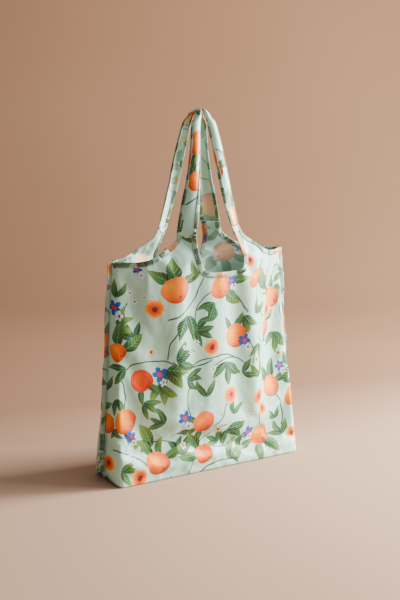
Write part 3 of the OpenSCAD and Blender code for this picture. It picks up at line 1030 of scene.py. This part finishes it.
def binding(name, path, side, body, node, find=near_shell, width=1.0):
    """A strip turned over an edge, following the cloth under it, and its row of stitches."""
    path = smooth_path(resample(path, 3.0), 2)
    tangents = np.gradient(path, axis=0)
    way = inward_way(path, tangents, side, find)

    def cloth_at(p, inward, normal, reach):
        target = p + inward * reach * width
        base, n = find(target, side)
        return (target, normal) if np.linalg.norm(base - target) > OFF_CLOTH else (base, n)

    rings, rows = [], []
    for i, (p, tangent) in enumerate(zip(path, tangents)):
        normal = find(p, side)[1]
        inward = unit(np.cross(normal, unit(tangent))) * way
        ripple = 1 + 0.10 * math.sin(i * 0.9 + len(name)) + 0.06 * math.sin(i * 0.37)
        ring = []
        for reach, off in FOLD:
            base, n = cloth_at(p, inward, normal, max(reach, 0))
            ring.append(base + inward * min(reach, 0) + n * off * ripple)
        rings.append(ring)
        rows.append(cloth_at(p, inward, normal, SEWN_IN))
    finish_piece(loft(name, rings, BINDING, closed=True, caps=True), body, "binding", node)
    return rows


def stitches(name, lines, body, lift=1.25):
    """Rows of short thread stitches, lying on both faces of the cloth along each line."""
    points, faces = [], []
    sides = range(STITCH_SIDES)
    for line in lines:
        places, normals = (np.array(values) for values in zip(*line))
        run = run_along(places)
        for s in np.arange(STITCH_GAP, run[-1] - STITCH_GAP, STITCH_GAP):
            a, b, n = (np.array([np.interp(at, run, values[:, k]) for k in range(3)])
                       for at, values in ((s, places), (s + STITCH, places), (s, normals)))
            n = unit(n)
            w = unit(np.cross(b - a, n))
            for face in (1, -1):
                start = len(points)
                for share, fat in STITCH_SHAPE:
                    middle = a + (b - a) * share + n * face * (lift - 0.25 * (1 - fat))
                    for angle in (math.pi / 2 * q for q in sides):
                        r = 0.06 + 0.2 * fat
                        points.append(middle + w * r * math.cos(angle) + n * r * math.sin(angle))
                faces += [tuple(start + v for v in quad)
                          for quad in grid_faces(len(STITCH_SHAPE), STITCH_SIDES, wrap=True)]
                faces.append(tuple(start + q for q in sides)[::-1])
                end = start + (len(STITCH_SHAPE) - 1) * STITCH_SIDES
                faces.append(tuple(end + q for q in sides))
    finish_piece(new_object(name, points, faces, [THREAD]), body, "binding")


# ---------------------------------------------------------------- body pieces
HEM_IN, HEM_OUT, SIDE_CORNER = (36.5, HEM_TOP), (65, HEM_TOP), (MOUTH_HALF, SIDE_TOP)
HEM_DEEP = 10.5             # height of the band that sews a handle on
SEAM_FIN = 8.0              # how far the bound side seam stands out
FIN = ((-1.5, 0.5), (0.5, 1.0), (4, 1.15), (7.2, 1.0), (SEAM_FIN, 0.4), (SEAM_FIN, -0.4),
       (7.2, -1.0), (4, -1.15), (0.5, -1.0), (-1.5, -0.5))     # its section: out, and off the middle


def mirror_x(corner):
    return (-corner[0], corner[1])


def hem_band(name, sign, side, body):
    """The band under a strap. It gives its middle line, for the stitches."""
    rings, rows = [], []
    for below in (HEM_DEEP, 10, 5, 0.6, 0):
        ring = []
        for x in np.linspace(HEM_IN[0] + 1.5, HEM_OUT[0] - 1.5, 9):
            z = HEM_TOP - below
            x = x + (HEM_TOP - z) * 0.18
            at, n = near_shell((sign * x, side * (float(depth(x, z)) + SKIN), z), side)
            ring.append(at + n * (0.15 if below in (HEM_DEEP, 0) else 0.75))
            if below == 5:
                rows.append((at, n))
        rings.append(ring)
    band = loft(name + "_band", rings, OUTSIDE)
    thicken(band, 0.3, inner_slot=0)
    finish_piece(band, body, "print_cloth", name)
    return rows


def make_panel_edges(loop, body, side):
    lines = [binding(f"{body}_{label}_fold", edge_segment(loop, start, end, side), side, body,
                     f"{body}_{label}") for label, start, end in (
        ("neck_binding", mirror_x(HEM_IN), HEM_IN),
        ("left_armhole_binding", mirror_x(SIDE_CORNER), mirror_x(HEM_OUT)),
        ("right_armhole_binding", HEM_OUT, SIDE_CORNER))]
    lines += [hem_band(f"{body}_{hand}_hem", sign, side, body)
              for hand, sign in (("left", -1), ("right", 1))]
    stitches(f"{body}_stitching", lines, body)


def make_side_seam(name, sign):
    """A bound fin that stands out from the edge and leans back and forth a little."""
    seam = SHELL_POINTS[(np.abs(SHELL_POINTS[:, 0]) > 0.985 * half_width(SHELL_POINTS[:, 2]))
                        & (SHELL_POINTS[:, 0] * sign > 0) & (np.abs(SHELL_POINTS[:, 1]) < 1.5)]
    seam = seam[np.argsort(seam[:, 2])]
    rings, rows = [], []
    for i, z in enumerate(np.arange(CORNER_LIFT - 3, SIDE_TOP + 1.5, 4.0)):
        x, y = (np.interp(z, seam[:, 2], seam[:, k]) for k in (0, 1))
        lean = 2.2 * math.sin(i * 0.21 + sign) + 0.8 * math.sin(i * 0.83)
        rings.append([(x + sign * reach, y + off + lean * (max(reach, 0) / SEAM_FIN) ** 2, z)
                      for reach, off in FIN])
        rows.append(((x + sign * 1.8, y + lean * 0.05, z), (0, 1.0, 0)))
    fin = loft(name + "_fold", rings, BINDING, closed=True, caps=True)
    finish_piece(fin, "gusset", "binding", name)
    stitches(name + "_stitching", [rows], "gusset", lift=1.2)


for part in (("front", FRONT, "front_panel", "front"), ("back", BACK, "back_panel", "back"),
             ("base", BASE, "base_panel", "gusset"),
             ("left_boxed_corner", LEFT_CORNER, "left_base_corner", "gusset"),
             ("right_boxed_corner", RIGHT_CORNER, "right_base_corner", "gusset")):
    part_of(*part)
LOOP = boundary_loop()
make_panel_edges(LOOP, "front", -1)
make_panel_edges(LOOP, "back", 1)
make_side_seam("left_side_seam", -1)
make_side_seam("right_side_seam", 1)
bpy.data.objects.remove(shell)

# ---------------------------------------------------------------- handles
STRAP_COLUMNS, STRAP_STEP = 13, 4.0
STRAP_CUT, GATHERED = 36.0, 5.0         # the strap's cut width, and how much less it is at the peak
TAB = 15.0                              # how far a strap's round end reaches below the hem
PEAK_DROOP = 8.5
HANDLE_PRINT = {"left": (-44, -66), "right": (-104, -83)}   # where each is cut from the print


def strap_path():
    """Stations up one strap: heights from the sewn tab to the top of the arch."""
    sink = 1.2
    heights = list(np.arange(HEM_TOP - TAB, PEAK - ARCH, STRAP_STEP))
    heights += [PEAK - ARCH + ARCH * math.sin(a) - sink * a / (math.pi / 2)
                for a in np.linspace(0.1, math.pi / 2, 7)]
    return [min(h, PEAK - sink) for h in heights]


def curl_angle(ratio):
    """Half the angle of an arc whose chord is this share of its length."""
    low, high = 1e-3, 3.0
    for _ in range(40):
        middle = (low + high) / 2
        if math.sin(middle) / middle > ratio:
            low = middle
        else:
            high = middle
    return low


def strap_ring(z, sign, side):
    """Points across one strap. It is gathered towards the peak, where its edges curl inwards."""
    tab = max(0.0, HEM_TOP - z)
    inner, outer = (np.array((sign * x, side * (float(depth(x, z)) + SKIN), z))
                    for x in (float(table(z, INNER)), float(table(z, OUTER))))
    middle, chord = (inner + outer) / 2, outer - inner
    if tab > 0:
        chord *= math.sqrt(max(0.02, 1 - (tab / (TAB + 0.6)) ** 2))
    length = np.linalg.norm(chord)
    cut = STRAP_CUT - GATHERED * smooth((z - HEM_TOP) / (PEAK - HEM_TOP))
    angle = curl_angle(0.995 if tab > 0 else min(0.995, length / cut))
    radius = length / (2 * math.sin(angle))
    direction = chord / length
    normal = unit(np.cross(direction, (0, 0, 1.0)))
    if normal[1] * side < 0:
        normal = -normal
    shift = -0.9 * smooth(tab / 4) if tab > 0 else 0.0
    near_top = smooth((z - PEAK + 26) / 22)
    ring = []
    for k in np.linspace(-1, 1, STRAP_COLUMNS):
        wave = 0.6 * math.sin(z * 0.07 + sign * 2 + k * 2) * (1 - abs(k)) * (tab == 0)
        bulge = radius * (math.cos(angle * k) - math.cos(angle))
        point = (middle + direction * radius * math.sin(angle * k)
                 + normal * (bulge * 0.8 + wave + shift))
        droop = PEAK_DROOP * near_top * (min(abs(point[0]), 16) / 16) ** 1.6
        ring.append(point * (1 - 0.16 * near_top, 1, 1) - (0, 0, droop))
    return ring


def make_handle(hand, sign):
    body, heights = f"{hand}_loop", strap_path()
    rings = np.array([strap_ring(z, sign, -1) for z in heights]
                     + [strap_ring(z, sign, 1) for z in heights[::-1]])
    if sign < 0:
        rings = rings[:, ::-1]
    loop, find = cloth_sheet(f"{hand}_handle", rings, uv_at=HANDLE_PRINT[hand])
    hem_row = next(i for i, z in enumerate(heights) if z >= HEM_TOP - 2)
    lines = [binding(f"{hand}_{edge}_fold", rings[hem_row:len(rings) - hem_row, column], -1, body,
                     f"{hand}_{edge}_binding", find, 0.72)
             for edge, column in (("outer", -1 if sign > 0 else 0), ("inner", 0 if sign > 0 else -1))]
    stitches(f"{hand}_handle_stitching", lines, body)
    finish_piece(loop, body, "print_cloth", f"{hand}_front_strap", f"{hand}_back_strap")


make_handle("left", -1)
make_handle("right", 1)

# ---------------------------------------------------------------- the stow pouch inside the back
POUCH_PUFF = 7.5
POUCH_BACK = 4.6        # how much nearer the back panel the soft pouch lies than its CAD node
POUCH_CORNER, FLAP_CORNER = 10, 12
FLAP_TURN = 3.2         # radius at which the flap turns down from its seam
LABEL_CURL = 5.0
ACROSS = np.linspace(-1, 1, 29)
TOWARDS_YOU = np.array((0, -1.0, 0))


def back_y(x, z):
    """Where the back panel's cloth lies at a place."""
    place, _, _, _ = SHELL_TREE.ray_cast(Vector((x, 0, z)) * MM, Vector((0, 1, 0)))
    return place.y / MM if place else float(depth(x, z)) + SKIN


def rounded_half(half, radius, above):
    """Half the width of a round-cornered patch, this far above its lower edge."""
    if above >= radius:
        return half
    return half - radius + math.sqrt(max(0.0, radius ** 2 - (radius - above) ** 2))


def make_pouch():
    half, foot, top = POUCH_HIGH[0], POUCH_LOW[2], POUCH_HIGH[2]
    rings = []
    for above in np.concatenate([[0, 1.2, 3.5, 6.5, 10], np.linspace(15, top - foot, 22)]):
        reach = rounded_half(half, POUCH_CORNER, above + 0.8)
        share, z = above / (top - foot), foot + above
        ring = []
        for k in ACROSS:
            puff = POUCH_PUFF * (1 - k * k) ** 0.75 * smooth(share * 1.7)
            crease = 0.7 * math.sin(k * 7 + share * 5) * (1 - k * k) * share
            gather = 0.35 * math.sin(k * 44) * (1 - share) * (1 - k ** 4)
            ring.append((k * reach, back_y(k * reach, z) - 0.9 - puff + crease + gather, z))
        rings.append(ring)
    rings = np.array(rings)
    pouch, find = cloth_sheet("pouch", rings, offset=1.0)
    finish_piece(pouch, "back", "pouch_cloth", "stow_pouch")
    mouth = binding("pouch_mouth_fold", rings[-1], -1, "back", "pouch_mouth_binding", find, 0.5)
    edges = (rings[3:, 1], rings[3:, -2], rings[3, 2:-2])
    stitches("pouch_stitching", [mouth] + [[(p, TOWARDS_YOU) for p in edge] for edge in edges],
             "back", lift=0.55)


def make_flap():
    half, foot, top = FLAP_HIGH[0], FLAP_LOW[2], FLAP_HIGH[2]
    face, root = FLAP_LOW[1] + POUCH_BACK + 0.4, FLAP_HIGH[1] - 0.4
    profile = [(root, top - 0.6), (root - 0.5, top - 0.2)]
    profile += [(face + FLAP_TURN * (1 - math.sin(a)), top - 0.2 - FLAP_TURN * (1 - math.cos(a)))
                for a in np.linspace(0.1, math.pi / 2, 7)]
    profile += [(face, z) for z in np.linspace(top - FLAP_TURN - 3, foot + 12, 9)]
    profile += [(face + 0.15 * k, foot + h) for k, h in enumerate((8, 5, 2.4, 0.6))]
    rings = []
    for y, z in profile:
        reach = rounded_half(half, FLAP_CORNER, z - foot + 0.4)
        hanging = z < top - FLAP_TURN
        rings.append([(k * reach, y + 0.3 * math.sin(k * 5 + z * 0.05) * (1 - k * k) * hanging, z)
                      for k in ACROSS])
    rings = np.array(rings)
    flap, find = cloth_sheet("flap", rings, 0.5, offset=0.0)
    start = next(i for i, (_, z) in enumerate(profile) if z < top - FLAP_TURN)
    edge = np.concatenate([rings[start:, 0], rings[-1, 1:-1], rings[start:, -1][::-1]])
    sewn = binding("flap_fold", edge, -1, "flap", "flap_binding", find, 0.5)
    stitches("flap_stitching", [sewn], "flap", lift=1.2)
    finish_piece(flap, "flap", "pouch_cloth", "pouch_flap")
    # The strip of the pouch's lining that the flap is sewn to, up on the back panel.
    strip = []
    for share in np.linspace(0, 1, 6):
        ring = []
        for k in ACROSS:
            x, z = k * (half + 3 * (1 - share)), top + 9 * (1 - share) ** 1.5 - 0.6
            far = back_y(x, top + 9) - 0.8
            ring.append((x, far + (root - far) * share ** 1.3, z))
        strip.append(ring)
    seam = loft("flap_seam_strip", strip, OUTSIDE)
    thicken(seam, 0.4, offset=0.0, inner_slot=0)
    finish_piece(seam, "back", "pouch_cloth")


def make_label():
    low, high = box_mm("care_label")
    rings = [[(low[0] - 2 + k * (high[0] - low[0]),
               LABEL_CURL * k * k + 1.2 * math.sin(3.0 * share) * k,
               low[2] + share * (high[2] - low[2])) for k in np.linspace(0, 1, 12)]
             for share in np.linspace(0, 1, 15)]
    label = loft("blank_label", rings, LABEL)
    thicken(label, 0.35, offset=0.0, inner_slot=0)
    finish_piece(label, "gusset", "label", "care_label")


def turned(name, profile, centre, body):
    """A turned metal part: a profile of (radius, y) swept round the press stud's own line."""
    rings = [[(radius * math.cos(a) + centre[0], y + POUCH_BACK, radius * math.sin(a) + centre[1])
              for a in np.linspace(0, 2 * math.pi, 40, endpoint=False)] for radius, y in profile]
    finish_piece(loft(name + "_turned", rings, STEEL, closed=True), body, "stud", name)


def make_stud():
    """The cap and socket on the flap, and the post on the pouch, each as a turned profile."""
    boxes = {name: box_mm(name) for name in ("stud_cap", "stud_socket", "stud_post")}
    low, high = boxes["stud_cap"]
    centre = (low[0] + high[0]) / 2, (low[2] + high[2]) / 2
    r, y = (high[0] - low[0]) / 2, low[1]
    turned("stud_cap", [(0.05, y + 0.1), (r * 0.35, y + 0.02), (r * 0.62, y + 0.2),
                        (r * 0.84, y + 0.55), (r * 0.97, y + 0.95), (r, y + 1.3),
                        (r * 0.96, y + 1.55), (r * 0.5, y + 1.6), (r * 0.3, high[1])],
           centre, "flap")
    low, high = boxes["stud_socket"]
    r, y, end = (high[0] - low[0]) / 2, low[1], high[1]
    turned("stud_socket", [(r * 0.3, y), (r * 0.9, y + 1.2), (r, y + 1.5), (r, end - 0.3),
                           (r * 0.9, end), (r * 0.66, end), (r * 0.5, end - 0.4),
                           (r * 0.46, y + 1.4), (0.05, y + 1.3)], centre, "flap")
    low, high = boxes["stud_post"]
    r, y = (high[0] - low[0]) / 2, low[1]
    turned("stud_post", [(0.05, y), (1.2, y + 0.02), (1.9, y + 0.3), (2.0, y + 0.6),
                         (1.7, y + 1.0), (r * 0.6, y + 1.1), (r * 0.9, y + 1.2), (r, y + 1.4),
                         (r * 0.95, y + 1.6), (1.0, high[1])], centre, "back")


make_pouch()
make_flap()
make_label()
make_stud()

# ---------------------------------------------------------------- stage and light
FLOOR_SIZE, WALL_AT, WALL_TURN, WALL_TOP, STAGE_HALF = 3.2, 1.5, 0.9, 3.4, 4.5
LIGHT_AIM = Vector((0, 0, 0.3))
WORLD_COLOUR, WORLD_STRENGTH = (1.0, 0.93, 0.88, 1), 0.23
# The paper's colour round the bag, and its painted shade on the far floor and on the backdrop, each
# as two tones for the cloud.
NEAR_FLOOR = (0.40, 0.25, 0.168), (0.465, 0.295, 0.202)
FAR_FLOOR_PAINTED_SHADE = (0.235, 0.125, 0.070), (0.285, 0.155, 0.090)
BACKDROP_PAINTED_SHADE = (0.255, 0.142, 0.078), (0.305, 0.172, 0.098)


def floor_material(away):
    """Paper in its own paler colour round the bag, painted darker from a little way behind it and to
    its left as painted shade. The backdrop is the same paper in painted shade, painted a little paler
    than the far floor, which stands in for the light it catches."""
    material, t, shader = new_material("floor", {"Roughness": 0.9, "Specular IOR Level": 0.15})
    place = t.new("ShaderNodeTexCoord").outputs["Object"]
    cloud = t.noise(place, 1.3, 3.0, 0.5)
    tilted = (away[0] - 0.35 * away[1], away[1] + 0.35 * away[0], 0)
    # Painted shade: the floor darkens from a little way behind the bag, sooner to its left.
    behind = t.math("MULTIPLY_ADD", t.measure("DOT_PRODUCT", place, tilted), 2.4, -0.14, clamp=True)
    above = t.math("MULTIPLY", t.measure("DOT_PRODUCT", place, (0, 0, 1)), 1.6, clamp=True)
    near, far, wall = (t.mix(cloud, *pair) for pair in (NEAR_FLOOR, FAR_FLOOR_PAINTED_SHADE, BACKDROP_PAINTED_SHADE))
    t.put(shader.inputs["Base Color"], t.mix(behind, near, t.mix(above, far, wall)))
    return material


def make_stage():
    """A pale floor that turns up into a backdrop behind."""
    profile = [(-FLOOR_SIZE, 0.0), (WALL_AT, 0.0)]
    profile += [(WALL_AT + WALL_TURN * math.sin(a), WALL_TURN * (1 - math.cos(a)))
                for a in np.linspace(0.1, math.pi / 2, 14)]
    profile.append((WALL_AT + WALL_TURN, WALL_TOP))
    away = math.sin(-AZIMUTH), math.cos(-AZIMUTH)
    points = [((x * away[1] + y * away[0]) / MM, (y * away[1] - x * away[0]) / MM, z / MM)
              for y, z in profile for x in (-STAGE_HALF, 0.0, STAGE_HALF)]
    new_object("floor", points, grid_faces(len(profile), 3), [floor_material(away)])


def area_light(name, place, power, size, colour):
    data = bpy.data.lights.new(name, "AREA")
    data.energy, data.color, data.shape = power, colour, "RECTANGLE"
    data.size, data.size_y = size
    light = add_to_scene(name, data)
    light.location = place
    look(light, LIGHT_AIM - Vector(place))


def make_world():
    world = bpy.context.scene.world = bpy.data.worlds.new("world")
    world.use_nodes = True
    colour, strength = world.node_tree.nodes["Background"].inputs[:2]
    colour.default_value, strength.default_value = WORLD_COLOUR, WORLD_STRENGTH


make_stage()
area_light("key", (2.3, -0.60, 1.05), 350, (0.8, 1.0), (1.0, 0.985, 0.96))
area_light("near", (1.05, -0.78, 0.60), 30, (0.5, 0.6), (0.98, 1.0, 0.99))
area_light("fill", (-0.9, -2.9, 1.5), 3, (2.2, 2.0), (0.97, 0.99, 1.0))
area_light("top", (0.5, -0.4, 2.6), 26, (2.0, 2.0), (1.0, 0.99, 0.98))
make_world()
